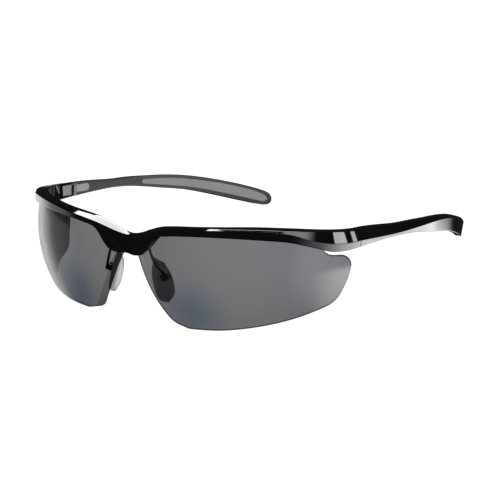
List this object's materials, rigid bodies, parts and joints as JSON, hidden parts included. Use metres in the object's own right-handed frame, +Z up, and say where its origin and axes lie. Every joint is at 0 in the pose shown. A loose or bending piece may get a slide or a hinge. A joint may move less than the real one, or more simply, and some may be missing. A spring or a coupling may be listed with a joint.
{
  "type": "safety glasses",
  "caption": "Wrap-around half-rim safety glasses with smoke lenses hung from a glossy black brow bar, folding temples with soft inserts, and rocking nose pads.",
  "frame": {"origin": "midway between the two hinge pins, at their mid height", "axes": "+X towards the wearer's left, +Y rearwards towards the temple tips, +Z up from the table that the lens rims and temple tips stand on; as worn, the whole is tipped 6.5 degrees the other way about X"},
  "size_m": [0.1418, 0.1669, 0.0398],
  "materials": {
    "frame_gloss": "gloss",
    "temple_gloss": "gloss",
    "lens_smoke": "gloss",
    "grip_rubber": "matte",
    "hinge_steel": "satin",
    "screw_steel": "satin",
    "arm_steel": "satin",
    "core_plastic": "satin",
    "pad_rubber": "satin"
  },
  "bodies": {
    "front": {"frame_front": "frame_gloss", "lens_left": "lens_smoke", "front_hinge_left": "hinge_steel", "hinge_screw_left": "screw_steel", "nose_arm_left": "arm_steel", "nose_screw_left": "screw_steel", "lens_right": "lens_smoke", "front_hinge_right": "hinge_steel", "hinge_screw_right": "screw_steel", "nose_arm_right": "arm_steel", "nose_screw_right": "screw_steel"},
    "temple_left_body": {"temple_left": "temple_gloss", "temple_grip_left": "grip_rubber", "temple_hinge_left": "hinge_steel"},
    "nose_pad_left_body": {"nose_pad_core_left": "core_plastic", "nose_pad_left": "pad_rubber"},
    "temple_right_body": {"temple_right": "temple_gloss", "temple_grip_right": "grip_rubber", "temple_hinge_right": "hinge_steel"},
    "nose_pad_right_body": {"nose_pad_core_right": "core_plastic", "nose_pad_right": "pad_rubber"}
  },
  "joints": [
    {"name": "temple_left_fold", "type": "hinge", "parent": "front", "child": "temple_left_body", "pos_m": [0.065, 0, 0], "axis": [0, 0.1132, 0.9936], "range_deg": [0, 90]},
    {"name": "temple_right_fold", "type": "hinge", "parent": "front", "child": "temple_right_body", "pos_m": [-0.065, 0, 0], "axis": [0, -0.1132, -0.9936], "range_deg": [0, 80]},
    {"name": "nose_pad_left_rock", "type": "hinge", "parent": "front", "child": "nose_pad_left_body", "pos_m": [0.01228, -0.04037, -0.01336], "axis": [0.2674, 0.9613, 0.0658], "range_deg": [-8, 8]},
    {"name": "nose_pad_right_rock", "type": "hinge", "parent": "front", "child": "nose_pad_right_body", "pos_m": [-0.01228, -0.04037, -0.01336], "axis": [-0.2674, 0.9613, 0.0658], "range_deg": [-8, 8]}
  ]
}
